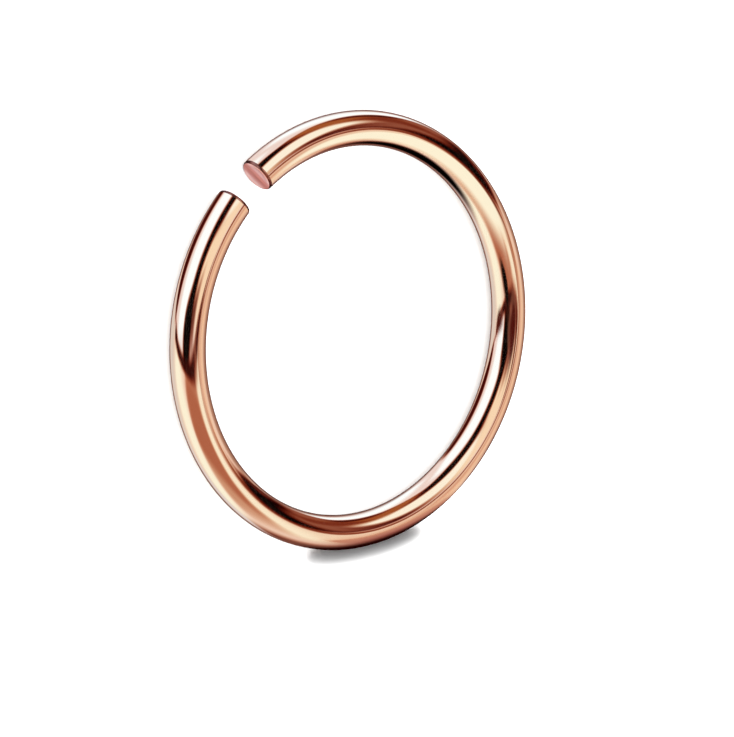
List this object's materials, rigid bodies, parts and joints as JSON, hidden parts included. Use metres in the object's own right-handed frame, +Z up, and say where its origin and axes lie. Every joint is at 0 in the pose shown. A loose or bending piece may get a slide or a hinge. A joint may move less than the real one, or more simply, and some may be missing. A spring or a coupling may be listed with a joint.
{
  "type": "nose ring",
  "caption": "Open round nose hoop: one length of polished rose-gold wire bent to a circle, with two square-cut ends a small gap apart.",
  "frame": {"origin": "middle of the hoop's circle, on the surface that the hoop lies on", "axes": "+Z up along the hoop's axis, +X out through the middle of the gap between the two ends, +Y across the gap"},
  "size_m": [0.01, 0.01, 0.0008],
  "materials": {
    "rose_gold": "polished"
  },
  "bodies": {
    "root": {"hoop": "rose_gold"}
  },
  "joints": []
}
